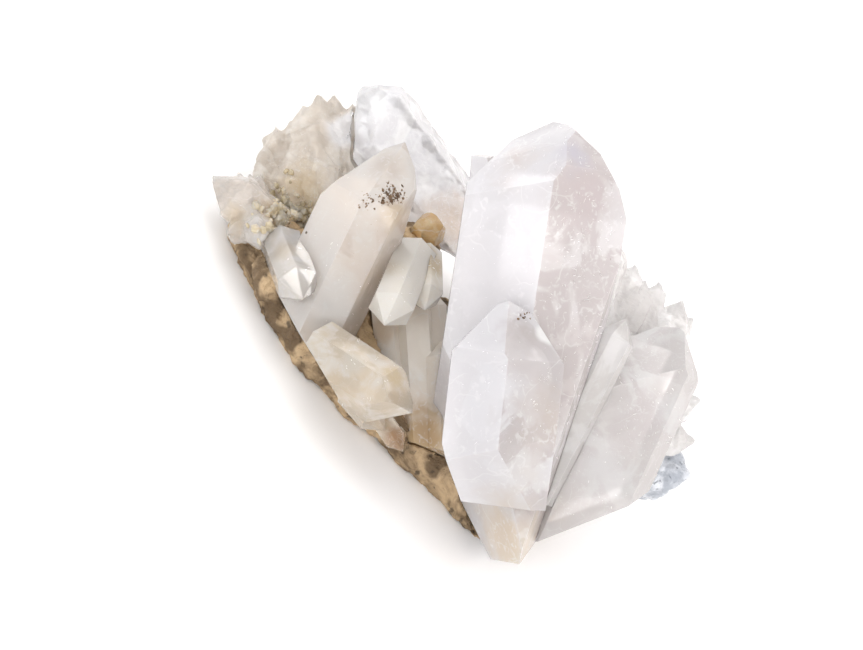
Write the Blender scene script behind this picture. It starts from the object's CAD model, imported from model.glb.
"""The looks of a quartz crystal cluster: its crystals, stained matrix, inclusions, light and camera.

Lengths are in metres and in the frame of the CAD model, unless a name ends in mm. Places on the best
side of the cluster are given in its own layout: x to the right, y up and z toward the viewer, in mm.
"""

import logging
import math
import random
from dataclasses import dataclass, field
from enum import Enum

import bmesh
import bpy
from mathutils import Matrix, Vector


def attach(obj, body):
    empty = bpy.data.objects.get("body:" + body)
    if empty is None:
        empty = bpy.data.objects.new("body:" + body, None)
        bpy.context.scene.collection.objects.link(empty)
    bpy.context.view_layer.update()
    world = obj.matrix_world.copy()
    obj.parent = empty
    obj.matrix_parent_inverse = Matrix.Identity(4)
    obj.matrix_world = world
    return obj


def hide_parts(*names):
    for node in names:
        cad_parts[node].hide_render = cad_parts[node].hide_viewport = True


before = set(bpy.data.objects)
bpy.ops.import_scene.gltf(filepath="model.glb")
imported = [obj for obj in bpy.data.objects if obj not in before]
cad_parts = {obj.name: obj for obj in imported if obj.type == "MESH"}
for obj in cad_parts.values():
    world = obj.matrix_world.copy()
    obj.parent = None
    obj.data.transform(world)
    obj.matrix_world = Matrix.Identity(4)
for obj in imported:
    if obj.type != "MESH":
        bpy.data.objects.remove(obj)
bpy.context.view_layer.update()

Colour = tuple[float, float, float]
Place = tuple[float, float, float]
Pixel = tuple[float, float]
log = logging.getLogger("cluster")

MM = 0.001
MM_PER_PIXEL = 0.265
PHOTO_MIDDLE = (431.5, 325.0)
VIEWER_MM = (-4.9, -1.3, 520.0)
QUARTZ_IOR = 1.544
QUARTZ_GLOW_RADIUS = (1.0, 1.0, 1.0)
QUARTZ_GLOW_SCALE = 0.006
ROOT_BODY = "root"
WELD_DISTANCE = 0.00002
FLAT_ANGLE = math.radians(1.0)
WEAR_ANGLE = math.radians(14.0)
SENSOR_WIDTH = 36.0
WHITE = (1.0, 1.0, 1.0)
WISP_WHITE = (0.99, 0.99, 1.0)
SPECK_BROWN = (0.12, 0.08, 0.05)


@dataclass(frozen=True)
class Layout:
    """The best side of the cluster, and how it stands in the CAD frame."""

    long_side: Vector = Vector((0.675, -0.7375, 0.0)).normalized()
    up: Vector = Vector((0.604, 0.553, 0.574)).normalized()
    floor_depth: float = 28.0
    shift: Vector = Vector((-2.84, -3.14, 0.0))

    def turn(self) -> Matrix:
        """Gives the turn from the layout to the CAD frame.

        Returns:
            The turn, whose columns are the layout's x, y and z.
        """
        return Matrix((self.long_side, self.up.cross(self.long_side), self.up))

    def place(self, point: Place) -> Vector:
        """Finds a layout point in the CAD frame.

        Args:
            point: The point, in mm.

        Returns:
            The same point in metres.
        """
        stood = self.turn() @ Vector(point) + Vector((0.0, 0.0, self.floor_depth)) + self.shift
        return stood * MM

    def heading(self, direction: Place) -> Vector:
        """Finds a layout direction in the CAD frame.

        Args:
            direction: The direction, of any length.

        Returns:
            The unit direction.
        """
        return (self.turn() @ Vector(direction)).normalized()


LAYOUT = Layout()


class Wiring:
    """Adds nodes to a node tree and links them."""

    def __init__(self, tree: bpy.types.NodeTree) -> None:
        """Takes the tree to work on.

        Args:
            tree: A material's or a group's node tree.
        """
        self.tree = tree

    def add(self, kind: str, inputs: dict | None = None, **settings: object) -> bpy.types.Node:
        """Adds one node.

        Args:
            kind: The node's Blender type.
            inputs: Values or sockets by input name or number.
            settings: The node's own settings.

        Returns:
            The new node.
        """
        node = self.tree.nodes.new(kind)
        for name, value in settings.items():
            setattr(node, name, value)
        for name, value in (inputs or {}).items():
            if isinstance(value, bpy.types.NodeSocket):
                self.tree.links.new(value, node.inputs[name])
            else:
                node.inputs[name].default_value = value
        return node

    def math(self, operation: str, first: object, second: object = 0.0) -> bpy.types.NodeSocket:
        """Adds a math node.

        Args:
            operation: The operation, such as ADD.
            first: A value or socket.
            second: A value or socket.

        Returns:
            The result.
        """
        return self.add("ShaderNodeMath", {0: first, 1: second}, operation=operation).outputs[0]

    def ramp(self, value: object, low: object, high: object, start: float = 0.0,
             end: float = 1.0) -> bpy.types.NodeSocket:
        """Adds a smooth step from start to end.

        Args:
            value: The value that is read.
            low: Where the step begins.
            high: Where the step ends.
            start: The result below low.
            end: The result above high.

        Returns:
            The stepped value.
        """
        inputs = {"Value": value, "From Min": low, "From Max": high, "To Min": start, "To Max": end}
        return self.add("ShaderNodeMapRange", inputs, interpolation_type="SMOOTHSTEP").outputs["Result"]

    def blend(self, share: object, first: object, second: object) -> bpy.types.NodeSocket:
        """Mixes two colours.

        Args:
            share: How much of the second colour shows.
            first: A colour or socket.
            second: A colour or socket.

        Returns:
            The mixed colour.
        """
        node = self.add("ShaderNodeMix", {0: share}, data_type="RGBA", blend_type="MIX")
        for socket, value in ((node.inputs[6], first), (node.inputs[7], second)):
            if isinstance(value, bpy.types.NodeSocket):
                self.tree.links.new(value, socket)
            else:
                socket.default_value = (*value, 1.0)
        return node.outputs[2]

    def noise(self, vector: object, scale: object, detail: float = 4.0,
              distortion: float = 0.0) -> bpy.types.NodeSocket:
        """Adds a noise pattern.

        Args:
            vector: Where the pattern is read.
            scale: Its scale.
            detail: Its octaves.
            distortion: How far it is warped.

        Returns:
            The pattern's value.
        """
        inputs = {"Vector": vector, "Scale": scale, "Detail": detail, "Distortion": distortion}
        return self.add("ShaderNodeTexNoise", inputs).outputs[0]


class Effect(Enum):
    """The patterns that more than one finish uses, each a node group."""

    CLOUDS = "milk clouds"
    SPECKS = "dark specks"
    FRACTURES = "healed fractures"
    STAIN = "iron stain"
    GROWTH = "growth lines"
    GRAIN = "rock grain"


class EffectShelf:
    """Builds each effect's group once and hands it out."""

    def __init__(self) -> None:
        """Starts with no group built."""
        self.built: dict[Effect, bpy.types.NodeTree] = {}

    def get(self, effect: Effect) -> bpy.types.NodeTree:
        """Finds or builds an effect's group.

        Args:
            effect: The effect that is wanted.

        Returns:
            Its node group.
        """
        if effect not in self.built:
            makers = {
                Effect.CLOUDS: self._clouds, Effect.SPECKS: self._specks, Effect.FRACTURES: self._fractures,
                Effect.STAIN: self._stain, Effect.GROWTH: self._growth, Effect.GRAIN: self._grain}
            self.built[effect] = makers[effect]()
        return self.built[effect]

    def _start(self, effect: Effect, numbers: dict[str, float], outputs: dict[str, str]) -> tuple:
        """Starts a group with a Vector input and some number inputs.

        Args:
            effect: The effect that the group is for.
            numbers: Its number inputs and their usual values.
            outputs: Its outputs, with their socket types.

        Returns:
            The wiring, the group's input node and its output node.
        """
        tree = bpy.data.node_groups.new(effect.value, "ShaderNodeTree")
        tree.interface.new_socket("Vector", in_out="INPUT", socket_type="NodeSocketVector")
        for name, usual in numbers.items():
            socket = tree.interface.new_socket(name, in_out="INPUT", socket_type="NodeSocketFloat")
            socket.default_value = usual
        for name, kind in outputs.items():
            tree.interface.new_socket(name, in_out="OUTPUT", socket_type=kind)
        wiring = Wiring(tree)
        return wiring, tree.nodes.new("NodeGroupInput"), tree.nodes.new("NodeGroupOutput")

    def _clouds(self) -> bpy.types.NodeTree:
        """Builds soft milky patches and the finer wisps at their rims.

        Returns:
            The group.
        """
        numbers = {"Size": 0.02, "Amount": 0.5}
        outputs = {"Mask": "NodeSocketFloat", "Wisps": "NodeSocketFloat"}
        wiring, given, out = self._start(Effect.CLOUDS, numbers, outputs)
        vector = given.outputs["Vector"]
        scale = wiring.math("DIVIDE", 1.0, given.outputs["Size"])
        broad = wiring.noise(vector, scale, 4.0, 0.8)
        lifted = wiring.math("ADD", broad, wiring.math("SUBTRACT", given.outputs["Amount"], 0.5))
        wisps = wiring.noise(vector, wiring.math("MULTIPLY", scale, 9.0), 4.0, 1.6)
        wiring.tree.links.new(wiring.ramp(lifted, 0.36, 0.66), out.inputs["Mask"])
        thin = wiring.math("MULTIPLY", wiring.ramp(wisps, 0.54, 0.7), wiring.ramp(lifted, 0.4, 0.55))
        wiring.tree.links.new(thin, out.inputs["Wisps"])
        return wiring.tree

    def _specks(self) -> bpy.types.NodeTree:
        """Builds tiny dark specks, scattered thinly.

        Returns:
            The group.
        """
        numbers = {"Size": 0.004, "Share": 0.1}
        wiring, given, out = self._start(Effect.SPECKS, numbers, {"Mask": "NodeSocketFloat"})
        scale = wiring.math("DIVIDE", 1.0, given.outputs["Size"])
        cells = wiring.add("ShaderNodeTexVoronoi", {"Vector": given.outputs["Vector"], "Scale": scale})
        pick = wiring.add("ShaderNodeSeparateColor", {0: cells.outputs["Color"]}).outputs[1]
        chosen = wiring.math("LESS_THAN", pick, given.outputs["Share"])
        dot = wiring.ramp(cells.outputs["Distance"], 0.06, 0.12, 1.0, 0.0)
        wiring.tree.links.new(wiring.math("MULTIPLY", dot, chosen), out.inputs["Mask"])
        return wiring.tree

    def _fractures(self) -> bpy.types.NodeTree:
        """Builds thin, bright, broken lines where cracks have healed.

        Returns:
            The group.
        """
        numbers = {"Size": 0.012, "Share": 0.4}
        wiring, given, out = self._start(Effect.FRACTURES, numbers, {"Mask": "NodeSocketFloat"})
        scale = wiring.math("DIVIDE", 1.0, given.outputs["Size"])
        vector = given.outputs["Vector"]
        warp = wiring.add("ShaderNodeTexNoise",
                          {"Vector": vector, "Scale": scale, "Detail": 3.0}).outputs["Color"]
        shift = wiring.add("ShaderNodeVectorMath", {0: warp, "Scale": given.outputs["Size"]},
                           operation="SCALE").outputs[0]
        moved = wiring.add("ShaderNodeVectorMath", {0: vector, 1: shift}, operation="ADD").outputs[0]
        cells = wiring.add("ShaderNodeTexVoronoi", {"Vector": moved, "Scale": scale},
                           feature="DISTANCE_TO_EDGE")
        line = wiring.ramp(cells.outputs["Distance"], 0.002, 0.02, 1.0, 0.0)
        gate = wiring.noise(vector, wiring.math("MULTIPLY", scale, 1.6), 3.0)
        kept = wiring.ramp(wiring.math("ADD", gate, given.outputs["Share"]), 0.86, 0.98)
        wiring.tree.links.new(wiring.math("MULTIPLY", line, kept), out.inputs["Mask"])
        return wiring.tree

    def _stain(self) -> bpy.types.NodeTree:
        """Builds a stain round a middle, which frays out at its radius.

        Returns:
            The group.
        """
        numbers = {"Radius": 0.02, "Spread": 0.01}
        wiring, given, out = self._start(Effect.STAIN, numbers, {"Mask": "NodeSocketFloat"})
        vector = given.outputs["Vector"]
        away = wiring.add("ShaderNodeVectorMath", {0: vector}, operation="LENGTH").outputs["Value"]
        frayed = wiring.math("SUBTRACT", wiring.noise(vector, 160.0, 2.0, 0.6), 0.5)
        moved = wiring.math("ADD", away, wiring.math("MULTIPLY", frayed, given.outputs["Spread"]))
        past = wiring.math("SUBTRACT", moved, given.outputs["Radius"])
        share = wiring.math("DIVIDE", past, given.outputs["Spread"])
        wiring.tree.links.new(wiring.ramp(share, -0.5, 0.5, 1.0, 0.0), out.inputs["Mask"])
        return wiring.tree

    def _growth(self) -> bpy.types.NodeTree:
        """Builds the fine lines across a crystal, for a Vector whose Z runs along the crystal.

        Returns:
            The group.
        """
        wiring, given, out = self._start(Effect.GROWTH, {"Pitch": 0.0012}, {"Height": "NodeSocketFloat"})
        flat = wiring.add("ShaderNodeMapping",
                          {"Vector": given.outputs["Vector"], "Scale": (0.12, 0.12, 1.0)})
        scale = wiring.math("DIVIDE", 1.0, given.outputs["Pitch"])
        lines = wiring.noise(flat.outputs[0], scale, 3.0)
        pits = wiring.noise(given.outputs["Vector"], wiring.math("MULTIPLY", scale, 0.25), 3.0, 0.6)
        total = wiring.math("ADD", wiring.math("MULTIPLY", lines, 0.45), wiring.math("MULTIPLY", pits, 0.55))
        wiring.tree.links.new(total, out.inputs["Height"])
        return wiring.tree

    def _grain(self) -> bpy.types.NodeTree:
        """Builds the crumbly relief and the mottling of the rock.

        Returns:
            The group.
        """
        outputs = {"Height": "NodeSocketFloat", "Mottle": "NodeSocketFloat", "Pits": "NodeSocketFloat"}
        wiring, given, out = self._start(Effect.GRAIN, {"Size": 0.003}, outputs)
        scale = wiring.math("DIVIDE", 1.0, given.outputs["Size"])
        coarse = wiring.noise(given.outputs["Vector"], scale, 8.0, 0.4)
        fine = wiring.noise(given.outputs["Vector"], wiring.math("MULTIPLY", scale, 4.0), 6.0)
        broad = wiring.noise(given.outputs["Vector"], wiring.math("MULTIPLY", scale, 0.3), 5.0, 1.0)
        height = wiring.math("ADD", wiring.math("MULTIPLY", coarse, 0.7), wiring.math("MULTIPLY", fine, 0.3))
        wiring.tree.links.new(height, out.inputs["Height"])
        wiring.tree.links.new(wiring.ramp(broad, 0.38, 0.62), out.inputs["Mottle"])
        wiring.tree.links.new(wiring.ramp(coarse, 0.42, 0.3), out.inputs["Pits"])
        return wiring.tree


SHELF = EffectShelf()


def effect_node(wiring: Wiring, effect: Effect, vector: object, **values: float) -> bpy.types.Node:
    """Places an effect's group in a material.

    Args:
        wiring: The material's wiring.
        effect: The effect.
        vector: Where the pattern is read.
        values: The group's number inputs, by name.

    Returns:
        The group node.
    """
    node = wiring.add("ShaderNodeGroup", node_tree=SHELF.get(effect))
    wiring.tree.links.new(vector, node.inputs["Vector"])
    for name, value in values.items():
        node.inputs[name].default_value = value
    return node


@dataclass(frozen=True)
class Tint:
    """A soft patch of another colour inside a crystal, under the point that shows at a pixel."""

    pixel: Pixel
    radius: float
    spread: float
    colour: Colour


def seen_spot(carrier: bpy.types.Object, pixel: Pixel) -> Vector:
    """Finds the point of a piece that shows at a pixel of the photograph.

    Args:
        carrier: The piece.
        pixel: The pixel, from the left and from the top.

    Returns:
        The point, or one at the layout's middle depth where the piece isn't there.
    """
    across = (pixel[0] - PHOTO_MIDDLE[0]) * MM_PER_PIXEL
    up = (PHOTO_MIDDLE[1] - pixel[1]) * MM_PER_PIXEL
    sight = LAYOUT.heading((across, up, -VIEWER_MM[2]))
    met, spot, _, _ = carrier.ray_cast(LAYOUT.place(VIEWER_MM), sight)
    return spot if met else LAYOUT.place((VIEWER_MM[0] + across, VIEWER_MM[1] + up, 0.0))


@dataclass(frozen=True)
class QuartzFinish:
    """Quartz, from clear to milky, with what has grown into it."""

    name: str
    clear: Colour = (0.86, 0.83, 0.82)
    milk: Colour = (0.95, 0.94, 0.95)
    transmission: float = 0.55
    glow: float = 0.5
    clouds: float = 0.5
    cloud_size: float = 0.022
    smooth: float = 0.10
    rough: float = 0.25
    mottle: float = 0.90
    mottle_size: float = 0.004
    fracture_size: float = 0.014
    fracture_share: float = 0.4
    speck_share: float = 0.0
    tints: tuple[Tint, ...] = ()
    pale_side: Colour | None = None
    wisps: float = 0.4
    axis: Place = (0.0, 1.0, 0.0)
    relief: float = 0.06
    absorbed: Colour = (0.95, 0.92, 0.88)
    density: float = 3.0
    bump_depth: float = 0.0006
    pale_side_share: float = 0.8
    pale_side_edge: float = 0.08
    fracture_glint: float = 0.35

    def dress(self, carrier: bpy.types.Object) -> bpy.types.Material:
        """Builds the material.

        Args:
            carrier: The piece that wears it.

        Returns:
            The material.
        """
        material = bpy.data.materials.new(self.name)
        material.use_nodes = True
        wiring = Wiring(material.node_tree)
        shader = wiring.tree.nodes["Principled BSDF"]
        coordinates = wiring.add("ShaderNodeTexCoord")
        clouds = effect_node(wiring, Effect.CLOUDS, coordinates.outputs["Object"], Size=self.cloud_size,
                             Amount=self.clouds)
        colour = self._colour(wiring, coordinates, clouds, carrier)
        wiring.tree.links.new(colour, shader.inputs["Base Color"])
        rough = wiring.ramp(clouds.outputs["Mask"], 0.0, 1.0, self.smooth, self.rough)
        wiring.tree.links.new(rough, shader.inputs["Roughness"])
        turn = LAYOUT.heading(self.axis).rotation_difference(Vector((0.0, 0.0, 1.0))).to_euler()
        along = wiring.add("ShaderNodeMapping",
                           {"Vector": coordinates.outputs["Object"], "Rotation": tuple(turn)})
        growth = effect_node(wiring, Effect.GROWTH, along.outputs[0])
        bump = wiring.add("ShaderNodeBump", {"Strength": self.relief, "Distance": self.bump_depth,
                                             "Height": growth.outputs["Height"]})
        wiring.tree.links.new(bump.outputs[0], shader.inputs["Normal"])
        shader.inputs["IOR"].default_value = QUARTZ_IOR
        shader.inputs["Transmission Weight"].default_value = self.transmission
        shader.inputs["Subsurface Weight"].default_value = self.glow
        shader.inputs["Subsurface Radius"].default_value = QUARTZ_GLOW_RADIUS
        shader.inputs["Subsurface Scale"].default_value = QUARTZ_GLOW_SCALE
        inner = wiring.add("ShaderNodeVolumeAbsorption", {"Color": (*self.absorbed, 1.0),
                                                          "Density": self.density})
        wiring.tree.links.new(inner.outputs[0], wiring.tree.nodes["Material Output"].inputs["Volume"])
        return material

    def _colour(self, wiring: Wiring, coordinates: bpy.types.Node, clouds: bpy.types.Node,
                carrier: bpy.types.Object) -> bpy.types.NodeSocket:
        """Builds the colour, from the clouds up to the healed cracks and the specks.

        Args:
            wiring: The material's wiring.
            coordinates: Its coordinate node.
            clouds: Its node of milk clouds.
            carrier: The piece that wears it.

        Returns:
            The colour.
        """
        spot = coordinates.outputs["Object"]
        grain = effect_node(wiring, Effect.GRAIN, spot, Size=self.mottle_size)
        fractures = effect_node(wiring, Effect.FRACTURES, spot, Size=self.fracture_size,
                                Share=self.fracture_share)
        colour = wiring.blend(clouds.outputs["Mask"], self.clear, self.milk)
        shade = tuple(self.mottle * part for part in self.clear)
        colour = wiring.blend(wiring.ramp(grain.outputs["Mottle"], 0.25, 0.75), colour, shade)
        if self.pale_side:
            leftward = wiring.add("ShaderNodeVectorMath", {0: coordinates.outputs["Normal"],
                                                           1: LAYOUT.heading((-1.0, 0.0, 0.0))},
                                  operation="DOT_PRODUCT").outputs["Value"]
            side = wiring.ramp(leftward, -self.pale_side_edge, self.pale_side_edge)
            share = wiring.math("MULTIPLY", side, self.pale_side_share)
            colour = wiring.blend(share, colour, self.pale_side)
        for tint in self.tints:
            middle = wiring.add("ShaderNodeVectorMath", {0: spot, 1: seen_spot(carrier, tint.pixel)},
                                operation="SUBTRACT").outputs[0]
            stain = effect_node(wiring, Effect.STAIN, middle, Radius=tint.radius, Spread=tint.spread)
            colour = wiring.blend(stain.outputs["Mask"], colour, tint.colour)
        wisps = wiring.math("MULTIPLY", clouds.outputs["Wisps"], self.wisps)
        colour = wiring.blend(wisps, colour, WISP_WHITE)
        glints = wiring.math("MULTIPLY", fractures.outputs["Mask"], self.fracture_glint)
        colour = wiring.blend(glints, colour, WHITE)
        if self.speck_share:
            specks = effect_node(wiring, Effect.SPECKS, spot, Share=self.speck_share)
            colour = wiring.blend(specks.outputs["Mask"], colour, SPECK_BROWN)
        return colour


@dataclass(frozen=True)
class RockFinish:
    """Opaque rock with mottled stains and crumbly relief."""

    name: str
    body: Colour
    mottle: Colour
    pits: Colour
    grain: float = 0.003
    roughness: float = 0.8
    relief: float = 0.7
    bump_depth: float = 0.001
    pit_share: float = 0.8
    mottle_shine: float = 0.7

    def dress(self, carrier: bpy.types.Object) -> bpy.types.Material:
        """Builds the material.

        Args:
            carrier: The piece that wears it.

        Returns:
            The material.
        """
        material = bpy.data.materials.new(self.name)
        material.use_nodes = True
        wiring = Wiring(material.node_tree)
        shader = wiring.tree.nodes["Principled BSDF"]
        spot = wiring.add("ShaderNodeTexCoord").outputs["Object"]
        grain = effect_node(wiring, Effect.GRAIN, spot, Size=self.grain)
        colour = wiring.blend(grain.outputs["Mottle"], self.body, self.mottle)
        sunk = wiring.math("MULTIPLY", grain.outputs["Pits"], self.pit_share)
        colour = wiring.blend(sunk, colour, self.pits)
        wiring.tree.links.new(colour, shader.inputs["Base Color"])
        rough = wiring.ramp(grain.outputs["Mottle"], 0.0, 1.0, self.roughness,
                            self.roughness * self.mottle_shine)
        wiring.tree.links.new(rough, shader.inputs["Roughness"])
        bump = wiring.add("ShaderNodeBump", {"Strength": self.relief, "Distance": self.bump_depth,
                                             "Height": grain.outputs["Height"]})
        wiring.tree.links.new(bump.outputs[0], shader.inputs["Normal"])
        return material


Finish = QuartzFinish | RockFinish


def deselect_all() -> None:
    """Leaves object mode with nothing selected."""
    if bpy.context.object and bpy.context.object.mode != "OBJECT":
        bpy.ops.object.mode_set(mode="OBJECT")
    bpy.ops.object.select_all(action="DESELECT")


def make_active(thing: bpy.types.Object) -> None:
    """Selects one object alone and makes it active.

    Args:
        thing: The object.
    """
    deselect_all()
    thing.select_set(True)
    bpy.context.view_layer.objects.active = thing


def apply_modifier(thing: bpy.types.Object, kind: str, **settings: object) -> None:
    """Adds a modifier with its settings and applies it.

    Args:
        thing: The object.
        kind: The modifier's type.
        settings: Its settings.
    """
    make_active(thing)
    modifier = thing.modifiers.new(kind.lower(), kind)
    for name, value in settings.items():
        setattr(modifier, name, value)
    bpy.ops.object.modifier_apply(modifier=modifier.name)


def merged_copy(node: str, name: str) -> bpy.types.Object:
    """Copies a CAD node's mesh as a closed surface of flat faces.

    Args:
        node: The CAD node.
        name: The new piece's name.

    Returns:
        The new piece.
    """
    thing = bpy.data.objects.new(name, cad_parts[node].data.copy())
    bpy.context.scene.collection.objects.link(thing)
    thing.data.materials.clear()
    make_active(thing)
    bpy.ops.object.mode_set(mode="EDIT")
    bpy.ops.mesh.select_all(action="SELECT")
    bpy.ops.mesh.remove_doubles(threshold=WELD_DISTANCE)
    bpy.ops.mesh.dissolve_limited(angle_limit=FLAT_ANGLE)
    bpy.ops.object.mode_set(mode="OBJECT")
    return thing


def keep_above_floor(thing: bpy.types.Object) -> None:
    """Lifts each point that lies below the floor onto it.

    Args:
        thing: The piece.
    """
    for vert in thing.data.vertices:
        vert.co.z = max(vert.co.z, 0.0)


def settle(thing: bpy.types.Object) -> None:
    """Lets a new piece ride on the cluster's one body, under its material slot.

    Args:
        thing: The piece.
    """
    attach(thing, ROOT_BODY)
    log.info("%s: %d faces", thing.name, len(thing.data.polygons))


WORN_EDGE = QuartzFinish("worn edge quartz", (0.95, 0.94, 0.94), WHITE, 0.2, smooth=0.15, mottle=0.97)


@dataclass
class FacetedCrystal:
    """A crystal, or a group of them, whose edges are a little worn."""

    node: str
    slot: str
    finish: QuartzFinish
    edge_wear: float = 0.00022
    growth: float = 0.00018

    def build(self) -> bpy.types.Object:
        """Builds the crystal over its CAD node.

        Returns:
            The new piece.
        """
        thing = merged_copy(self.node, self.node + "_worn")
        apply_modifier(thing, "DISPLACE", strength=self.growth, mid_level=0.0)
        keep_above_floor(thing)
        apply_modifier(thing, "BEVEL", width=self.edge_wear, segments=2, limit_method="ANGLE",
                       angle_limit=WEAR_ANGLE, use_clamp_overlap=True, material=1)
        thing.data.materials.append(self.finish.dress(thing))
        thing.data.materials.append(bpy.data.materials.get(WORN_EDGE.name) or WORN_EDGE.dress(thing))
        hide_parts(self.node)
        settle(thing)
        return thing


@dataclass(frozen=True)
class Relief:
    """One layer of displacement: its pattern, its size and how far it moves the surface."""

    pattern: str
    size: float
    depth: float
    middle: float = 0.5


@dataclass
class RoughBody:
    """A druse, a block or a rock, remeshed and roughened over its CAD node."""

    node: str
    slot: str
    finish: Finish
    voxel: float
    reliefs: tuple[Relief, ...]
    rounding: int = 0

    def build(self) -> bpy.types.Object:
        """Builds the rough body.

        Returns:
            The new piece.
        """
        thing = merged_copy(self.node, self.node + "_rough")
        apply_modifier(thing, "REMESH", mode="VOXEL", voxel_size=self.voxel)
        if self.rounding:
            apply_modifier(thing, "SMOOTH", factor=0.5, iterations=self.rounding)
        for number, relief in enumerate(self.reliefs):
            texture = bpy.data.textures.new(f"{self.node} relief {number}", relief.pattern)
            texture.noise_scale = relief.size
            apply_modifier(thing, "DISPLACE", texture=texture, texture_coords="LOCAL", strength=relief.depth,
                           mid_level=relief.middle)
        keep_above_floor(thing)
        thing.data.materials.append(self.finish.dress(thing))
        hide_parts(self.node)
        settle(thing)
        return thing


@dataclass(frozen=True)
class GrainPatch:
    """Where grains lie on a piece: a patch's middle and spread in the layout, and their sizes, in mm."""

    middle: tuple[float, float]
    spread: tuple[float, float]
    count: int
    size: tuple[float, float]


class Speckle(Enum):
    """The shape that is scattered."""

    GRAIN = "blunt grain"
    FLECK = "thin curved fleck"


@dataclass
class Scatter:
    """Grains, flecks or crumbs that lie in the front faces of a piece."""

    carrier: bpy.types.Object
    name: str
    slot: str
    patches: tuple[GrainPatch, ...]
    finish: Finish
    speckle: Speckle = Speckle.GRAIN
    seed: int = 5
    start_depth: float = 120.0
    sunk: float = 0.05

    def build(self) -> bpy.types.Object:
        """Builds the grains, flecks or crumbs as one piece.

        Returns:
            The new piece.
        """
        seedling = self._seedling()
        draw = random.Random(self.seed)
        grains = bmesh.new()
        for patch in self.patches:
            for _ in range(patch.count):
                spot = self._spot(patch, draw)
                if spot is None:
                    continue
                size = draw.uniform(*patch.size) * draw.uniform(0.6, 1.0) * MM
                angle = draw.uniform(0.0, math.tau)
                turn = Matrix.Rotation(angle, 4, Vector((draw.random(), draw.random(), 1.0)))
                width, height = size * draw.uniform(0.5, 1.0), size * draw.uniform(0.4, 0.9)
                stretch = Matrix.Diagonal((size, width, height, 1.0))
                if self.speckle is Speckle.FLECK:
                    turn = LAYOUT.heading((0.0, 0.0, 1.0)).to_track_quat("Z", "Y").to_matrix().to_4x4() @ turn
                batch = seedling.data.copy()
                batch.transform(Matrix.Translation(spot) @ turn @ stretch)
                grains.from_mesh(batch)
                bpy.data.meshes.remove(batch)
        bpy.data.objects.remove(seedling)
        mesh = bpy.data.meshes.new(self.name)
        grains.to_mesh(mesh)
        grains.free()
        thing = bpy.data.objects.new(self.name, mesh)
        bpy.context.scene.collection.objects.link(thing)
        thing.data.materials.append(self.finish.dress(thing))
        settle(thing)
        return thing

    def _seedling(self) -> bpy.types.Object:
        """Builds the one grain or fleck that is copied.

        Returns:
            The grain, about two metres wide before it is scaled.
        """
        deselect_all()
        bpy.ops.mesh.primitive_ico_sphere_add(subdivisions=1, radius=1.0)
        seedling = bpy.context.object
        bpy.ops.object.mode_set(mode="EDIT")
        bpy.ops.transform.vertex_random(offset=0.25, seed=self.seed)
        bpy.ops.object.mode_set(mode="OBJECT")
        if self.speckle is Speckle.FLECK:
            for vert in seedling.data.vertices:
                curve = 0.4 * vert.co.x ** 2
                vert.co = Vector((vert.co.x, vert.co.y * 0.10 + curve, vert.co.z * 0.10))
        return seedling

    def _spot(self, patch: GrainPatch, draw: random.Random) -> Vector | None:
        """Finds a place on the carrier's front, on the viewer's side.

        Args:
            patch: The patch that the grain belongs to.
            draw: The source of the scatter.

        Returns:
            The place, or None off the carrier.
        """
        x = patch.middle[0] + draw.gauss(0.0, 0.5) * patch.spread[0]
        y = patch.middle[1] + draw.gauss(0.0, 0.5) * patch.spread[1]
        start = LAYOUT.place((x, y, self.start_depth))
        inward = LAYOUT.heading((0.0, 0.0, -1.0))
        met, spot, _, _ = self.carrier.ray_cast(start, inward)
        return spot + inward * self.sunk * MM if met else None


@dataclass(frozen=True)
class Softbox:
    """A soft lamp that faces the cluster: where it hangs in the layout, its size and its light, in watts."""

    name: str
    direction: Place
    distance: float
    size: float
    power: float
    colour: Colour


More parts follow.
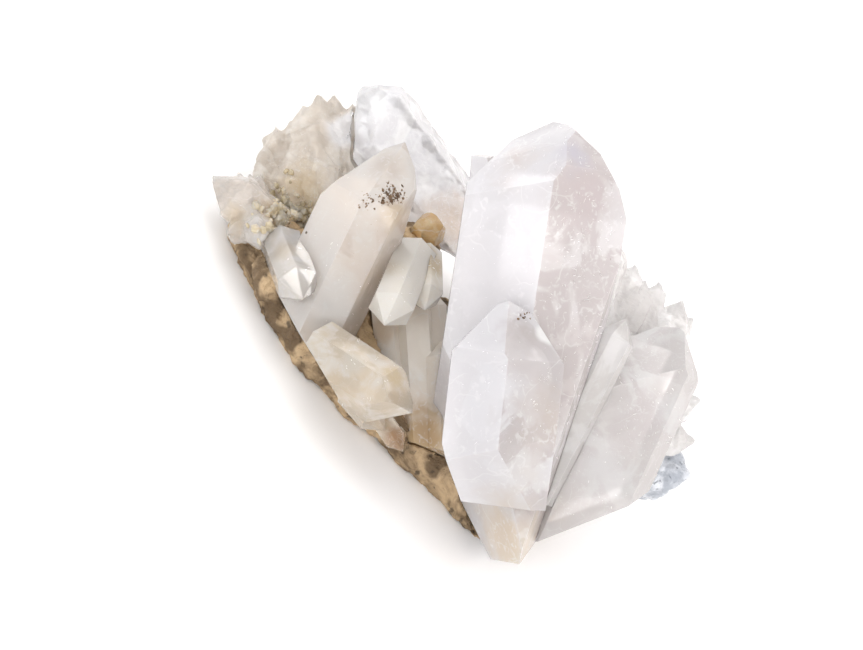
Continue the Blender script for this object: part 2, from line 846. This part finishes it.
@dataclass
class Studio:
    """The pale floor, the soft light and the camera."""

    lens: float = 81.85
    seen_from: float = 0.05
    seen_to: float = 20.0
    floor_size: float = 6.0
    floor_grey: float = 0.93
    floor_roughness: float = 0.9
    floor_shine: float = 0.1
    sky_strength: float = 1.42
    sky_bright_side: Place = (-0.75, 0.5, 0.3)
    sky_dim: Colour = (0.86, 0.82, 0.80)
    sky_bright: Colour = (0.99, 0.99, 1.0)
    softboxes: tuple[Softbox, ...] = (
        Softbox("left_softbox", (-0.75, 0.35, 0.55), 0.7, 0.5, 1.3, (0.96, 0.98, 1.0)),
        Softbox("top_softbox", (0.35, 0.9, 0.75), 0.8, 0.4, 0.8, (1.0, 0.99, 0.97)),
        Softbox("right_softbox", (0.8, -0.1, 0.6), 0.7, 0.5, 0.9, (1.0, 0.98, 0.96)),
        Softbox("front_softbox", (0.05, -0.25, 0.9), 0.8, 0.6, 0.6, (1.0, 0.97, 0.94)))

    def build(self) -> None:
        """Builds the whole studio."""
        self._floor()
        self._sky()
        for softbox in self.softboxes:
            self._hang(softbox)
        self._camera()

    def _floor(self) -> None:
        """Lays the pale floor under the cluster."""
        deselect_all()
        bpy.ops.mesh.primitive_plane_add(size=self.floor_size, location=(0.0, 0.0, 0.0))
        floor = bpy.context.object
        floor.name = "floor"
        material = bpy.data.materials.new("pale floor")
        material.use_nodes = True
        shader = material.node_tree.nodes["Principled BSDF"]
        grey = self.floor_grey
        shader.inputs["Base Color"].default_value = (grey, grey, grey, 1.0)
        shader.inputs["Roughness"].default_value = self.floor_roughness
        shader.inputs["Specular IOR Level"].default_value = self.floor_shine
        floor.data.materials.append(material)

    def _sky(self) -> None:
        """Surrounds the cluster with soft white light, brighter at the upper left of the view."""
        world = bpy.data.worlds.new("soft surround")
        bpy.context.scene.world = world
        world.use_nodes = True
        wiring = Wiring(world.node_tree)
        around = wiring.add("ShaderNodeTexCoord").outputs["Generated"]
        heading = wiring.add("ShaderNodeVectorMath", {0: around, 1: LAYOUT.heading(self.sky_bright_side)},
                             operation="DOT_PRODUCT").outputs["Value"]
        colour = wiring.blend(wiring.ramp(heading, -0.8, 0.9), self.sky_dim, self.sky_bright)
        background = wiring.tree.nodes["Background"]
        wiring.tree.links.new(colour, background.inputs["Color"])
        background.inputs["Strength"].default_value = self.sky_strength

    def _hang(self, softbox: Softbox) -> None:
        """Hangs a soft lamp.

        Args:
            softbox: The lamp that is wanted.
        """
        data = bpy.data.lights.new(softbox.name, "AREA")
        data.size, data.energy, data.color = softbox.size, softbox.power, softbox.colour
        lamp = bpy.data.objects.new(softbox.name, data)
        lamp.visible_glossy = False
        lamp.visible_transmission = False
        heading = LAYOUT.heading(softbox.direction)
        lamp.location = heading * softbox.distance
        lamp.rotation_mode = "QUATERNION"
        lamp.rotation_quaternion = heading.to_track_quat("Z", "Y")
        bpy.context.scene.collection.objects.link(lamp)

    def _camera(self) -> None:
        """Sets the camera at the best side."""
        data = bpy.data.cameras.new("camera")
        data.lens, data.sensor_width = self.lens, SENSOR_WIDTH
        data.clip_start, data.clip_end = self.seen_from, self.seen_to
        camera = bpy.data.objects.new("camera", data)
        turn = Matrix([LAYOUT.heading(axis) for axis in ((1, 0, 0), (0, 1, 0), (0, 0, 1))]).transposed()
        camera.matrix_world = Matrix.Translation(LAYOUT.place(VIEWER_MM)) @ turn.to_4x4()
        bpy.context.scene.collection.objects.link(camera)
        bpy.context.scene.camera = camera


@dataclass
class Crystals:
    """Every crystal of the cluster, with the finish that its place gave it."""

    blue_side: Colour = (0.835, 0.83, 0.86)
    made: dict[str, bpy.types.Object] = field(default_factory=dict)

    def build(self) -> None:
        """Builds each crystal in turn, then what has grown into them."""
        for crystal in (*self._large(), *self._small()):
            self.made[crystal.node] = crystal.build()
        self._grains()
        self._flecks()

    def _large(self) -> tuple[FacetedCrystal, ...]:
        """Lists the four large crystals.

        Returns:
            The crystals, not yet built.
        """
        return (
            FacetedCrystal("tall_crystal", "milky", QuartzFinish(
                "tall quartz", (0.72, 0.67, 0.665), (0.84, 0.82, 0.83), 0.45, axis=(0.15, 0.988, 0.06),
                speck_share=0.04, smooth=0.18, wisps=0.5, pale_side=self.blue_side,
                tints=(Tint((585, 195), 0.007, 0.012, (0.68, 0.61, 0.61)),
                       Tint((573, 153), 0.0035, 0.008, (0.64, 0.62, 0.68)),
                       Tint((515, 160), 0.003, 0.016, (0.74, 0.67, 0.64)),
                       Tint((578, 430), 0.008, 0.016, (0.80, 0.745, 0.73)),
                       Tint((506, 545), 0.012, 0.014, (0.79, 0.68, 0.55))))),
            FacetedCrystal("front_crystal", "milky", QuartzFinish(
                "front quartz", (0.70, 0.665, 0.665), (0.82, 0.82, 0.85), 0.50, axis=(0.11, 0.994, 0.02),
                pale_side=self.blue_side,
                tints=(Tint((546, 422), 0.006, 0.016, (0.64, 0.58, 0.54)),
                       Tint((524, 332), 0.0040, 0.010, (0.58, 0.54, 0.53)),
                       Tint((525, 472), 0.004, 0.014, (0.82, 0.79, 0.77)),
                       Tint((545, 335), 0.0025, 0.002, WHITE),
                       Tint((505, 506), 0.003, 0.014, (0.75, 0.67, 0.58))))),
            FacetedCrystal("leaning_crystal", "smoky", QuartzFinish(
                "leaning quartz", (0.88, 0.80, 0.73), (0.96, 0.92, 0.88), 0.6, pale_side=(0.93, 0.89, 0.86),
                mottle=0.93, fracture_share=0.3, axis=(0.44, 0.90, 0.12), speck_share=0.05,
                tints=(Tint((396, 215), 0.004, 0.006, (0.76, 0.64, 0.49)),
                       Tint((385, 165), 0.004, 0.006, (0.78, 0.72, 0.66)),
                       Tint((330, 300), 0.007, 0.010, (0.94, 0.91, 0.88))))),
            FacetedCrystal("broad_crystal", "smoky", QuartzFinish(
                "broad quartz", (0.90, 0.87, 0.86), (0.98, 0.97, 0.98), 0.6, mottle=0.92, wisps=0.75,
                axis=(0.42, 0.907, -0.05), clouds=0.52, cloud_size=0.010, fracture_size=0.009,
                fracture_share=0.5, speck_share=0.02,
                tints=(Tint((640, 420), 0.006, 0.010, (0.78, 0.74, 0.74)),
                       Tint((600, 470), 0.005, 0.010, (0.96, 0.95, 0.97))))))

    def _small(self) -> tuple[FacetedCrystal, ...]:
        """Lists the smaller crystals.

        Returns:
            The crystals, not yet built.
        """
        return (
            FacetedCrystal("yellow_crystals", "amber", QuartzFinish(
                "yellow quartz", (0.84, 0.75, 0.62), (0.95, 0.91, 0.85), 0.65, axis=(0.84, -0.54, 0.35),
                cloud_size=0.006, fracture_size=0.004, fracture_share=0.45, smooth=0.06, rough=0.2,
                tints=(Tint((332, 385), 0.003, 0.005, (0.78, 0.66, 0.50)),
                       Tint((393, 375), 0.003, 0.003, (0.80, 0.68, 0.48)),
                       Tint((352, 362), 0.003, 0.003, (0.80, 0.76, 0.68)),
                       Tint((398, 440), 0.004, 0.004, (0.50, 0.33, 0.20))))),
            FacetedCrystal("small_crystal_left", "smoky", QuartzFinish(
                "clear quartz left", (0.94, 0.90, 0.85), (0.99, 0.98, 0.96), 0.75, smooth=0.03, rough=0.10,
                cloud_size=0.004, tints=(Tint((282, 252), 0.003, 0.004, (0.84, 0.76, 0.65)),))),
            FacetedCrystal("small_crystal_middle", "smoky", QuartzFinish(
                "clear quartz middle", (1.0, 0.95, 0.87), (1.0, 0.99, 0.95), 0.5, smooth=0.03, rough=0.12,
                mottle=0.99, wisps=0.7, cloud_size=0.004,
                tints=(Tint((388, 268), 0.003, 0.005, (0.88, 0.80, 0.69)),))),
            FacetedCrystal("small_crystal_right", "smoky", QuartzFinish(
                "clear quartz right", (1.0, 0.93, 0.82), (1.0, 0.97, 0.92), 0.42, smooth=0.05, rough=0.14,
                mottle=0.99, wisps=0.7, cloud_size=0.004,
                tints=(Tint((430, 260), 0.005, 0.006, (0.70, 0.57, 0.38)),))),
            FacetedCrystal("sliver_crystal", "milky", QuartzFinish(
                "sliver quartz", (0.93, 0.91, 0.89), axis=(0.45, 0.89, 0.0))),
            FacetedCrystal("milky_prisms", "smoky", QuartzFinish(
                "prism quartz", (1.0, 0.91, 0.82), (1.0, 0.95, 0.89), 0.3, mottle=0.96,
                tints=(Tint((418, 440), 0.009, 0.012, (0.60, 0.43, 0.25)),
                       Tint((378, 330), 0.004, 0.006, (0.80, 0.68, 0.54))))),
            FacetedCrystal("honey_nub", "honey", QuartzFinish(
                "honey quartz", (0.78, 0.52, 0.24), (0.86, 0.66, 0.38), 0.5, cloud_size=0.003),
                edge_wear=0.0008))

    def _grains(self) -> None:
        """Scatters the dark grains."""
        dark = RockFinish("dark grains", (0.10, 0.06, 0.035), (0.22, 0.14, 0.08), (0.03, 0.02, 0.01), 0.001)
        Scatter(self.made["leaning_crystal"], "leaning_crystal_grains", "matrix", (
            GrainPatch((-15.7, 31.3), (2.8, 2.6), 60, (0.22, 0.85)),
            GrainPatch((-15.0, 32.2), (3.4, 2.6), 50, (0.12, 0.30)),
            GrainPatch((-13.4, 32.6), (2.0, 1.6), 14, (0.30, 0.70)),
            GrainPatch((-21.4, 30.0), (2.6, 2.2), 26, (0.15, 0.60)),
            GrainPatch((-18.0, 18.0), (12.0, 22.0), 24, (0.10, 0.22))), dark).build()
        Scatter(self.made["front_crystal"], "front_crystal_grains", "matrix", (
            GrainPatch((17.2, 0.6), (1.8, 0.7), 10, (0.25, 0.60)),
            GrainPatch((18.6, 1.6), (0.7, 0.9), 5, (0.20, 0.45))), dark).build()

    def _flecks(self) -> None:
        """Scatters the white flecks."""
        pale = QuartzFinish("fleck quartz", WISP_WHITE, WHITE, 0.1, smooth=0.2)
        small = {"small_crystal_left": (-36.5, 13.0), "small_crystal_middle": (-13.0, 11.0),
                 "small_crystal_right": (-5.5, 14.0), "yellow_crystals": (-22.0, -13.0)}
        table = [
            ("tall_crystal", "milky", (
                GrainPatch((34.0, 12.0), (12.0, 46.0), 420, (0.30, 1.05)),
                GrainPatch((28.0, 41.0), (14.0, 8.0), 90, (0.25, 0.80)),
                GrainPatch((16.0, 5.0), (14.0, 50.0), 90, (0.20, 0.60)))),
            ("front_crystal", "milky", (
                GrainPatch((20.0, -14.0), (10.0, 26.0), 90, (0.25, 0.80)),
                GrainPatch((22.8, -14.0), (2.6, 1.6), 16, (0.35, 0.80)),
                GrainPatch((19.8, -20.2), (1.8, 1.4), 12, (0.35, 0.80)),
                GrainPatch((8.0, -18.0), (8.0, 26.0), 60, (0.20, 0.70)))),
            ("broad_crystal", "smoky", (GrainPatch((50.0, -22.0), (24.0, 34.0), 240, (0.25, 1.0)),)),
            *((node, "smoky", (GrainPatch(middle, (9.0, 14.0), 36, (0.25, 0.9)),))
              for node, middle in small.items()),
            ("leaning_crystal", "smoky", (GrainPatch((-22.0, 12.0), (22.0, 34.0), 90, (0.20, 0.70)),)),
        ]
        for node, slot, patches in table:
            Scatter(self.made[node], node + "_flecks", slot, patches, pale, Speckle.FLECK).build()


@dataclass
class Blocks:
    """The druses, the frosted block, the massive quartz, the stained matrix and the slate grey chunk."""

    fine: Relief = Relief("CLOUDS", 0.0016, 0.0005)
    made: dict[str, bpy.types.Object] = field(default_factory=dict)

    def build(self) -> None:
        """Builds each rough body in turn, then the crumbs on two of them."""
        for body in (*self._quartz(), *self._rock()):
            self.made[body.node] = body.build()
        crumbs = QuartzFinish("honey crumb quartz", (0.92, 0.76, 0.48), (0.98, 0.91, 0.76), 0.5, smooth=0.05,
                              cloud_size=0.003)
        for node in ("left_druse", "frosted_crystals"):
            Scatter(self.made[node], node + "_crumbs", "honey", (
                GrainPatch((-43.5, 27.0), (7.0, 9.5), 110, (0.8, 2.4)),
                GrainPatch((-39.5, 29.5), (5.0, 4.0), 24, (0.8, 2.0))), crumbs).build()

    def _quartz(self) -> tuple[RoughBody, ...]:
        """Lists the bodies of quartz.

        Returns:
            The bodies, not yet built.
        """
        return (
            RoughBody("frosted_crystals", "frosted", QuartzFinish(
                "frosted quartz", (0.69, 0.62, 0.54), (0.83, 0.78, 0.71), 0.5, fracture_share=0.25,
                mottle=0.94, smooth=0.30, rough=0.42, cloud_size=0.009,
                tints=(Tint((300, 190), 0.005, 0.012, (0.70, 0.57, 0.38)),
                       Tint((344, 130), 0.005, 0.004, (0.95, 0.95, 0.98)))),
                0.0005,
                (Relief("VORONOI", 0.011, -0.0018, 0.35), Relief("VORONOI", 0.0045, -0.0013, 0.35),
                 self.fine)),
            RoughBody("right_druse", "smoky", QuartzFinish(
                "right druse quartz", (0.93, 0.91, 0.90), (0.99, 0.98, 0.98), 0.5, cloud_size=0.004,
                rough=0.2, wisps=0.7),
                0.0005, (Relief("VORONOI", 0.005, -0.0009, 0.35), self.fine), 3),
            RoughBody("back_crystal", "milky", QuartzFinish(
                "back quartz", (0.86, 0.86, 0.88), (0.98, 0.98, 0.99), cloud_size=0.008,
                fracture_size=0.005, fracture_share=0.5, smooth=0.12, mottle=0.94,
                tints=(Tint((448, 225), 0.007, 0.014, (0.80, 0.68, 0.58)),)),
                0.0006, (Relief("CLOUDS", 0.005, 0.0011), Relief("VORONOI", 0.006, -0.0008, 0.35)), 2),
            RoughBody("left_druse", "smoky", QuartzFinish(
                "left druse quartz", (0.86, 0.80, 0.74), (0.94, 0.91, 0.87), 0.6, cloud_size=0.006,
                tints=(Tint((285, 215), 0.006, 0.007, (0.62, 0.45, 0.24)),
                       Tint((235, 220), 0.004, 0.006, (0.80, 0.70, 0.56)))),
                0.0004, (Relief("VORONOI", 0.005, -0.0013, 0.3), self.fine)),
            RoughBody("massive_quartz", "milky", QuartzFinish(
                "massive quartz", transmission=0.4, smooth=0.30, rough=0.42,
                tints=(Tint((506, 545), 0.012, 0.014, (0.86, 0.74, 0.60)),)),
                0.0008,
                (Relief("VORONOI", 0.013, -0.0032, 0.3), Relief("VORONOI", 0.005, -0.0012, 0.3),
                 self.fine)))

    def _rock(self) -> tuple[RoughBody, ...]:
        """Lists the bodies of rock.

        Returns:
            The bodies, not yet built.
        """
        stained = RockFinish("stained rock", (0.15, 0.10, 0.055), (0.50, 0.36, 0.21), (0.05, 0.035, 0.02),
                             0.0025, relief=1.0)
        slate = RockFinish("slate rock", (0.37, 0.40, 0.45), (0.68, 0.71, 0.76), (0.14, 0.16, 0.18),
                           0.0018, 0.18)
        crumbly = (Relief("CLOUDS", 0.008, 0.0022), Relief("CLOUDS", 0.003, 0.0016),
                   Relief("CLOUDS", 0.0013, 0.0008))
        return (
            RoughBody("matrix", "matrix", stained, 0.0008, crumbly, 1),
            RoughBody("slate_chunk", "slate", slate, 0.0005,
                      (Relief("VORONOI", 0.004, -0.0014, 0.3), self.fine), 1))


def main() -> None:
    """Builds the dressed cluster and its studio."""
    logging.basicConfig(level=logging.INFO, format="%(message)s")
    bpy.context.scene.view_settings.view_transform = "Standard"
    Crystals().build()
    Blocks().build()
    Studio().build()


if __name__ == "__main__":
    main()
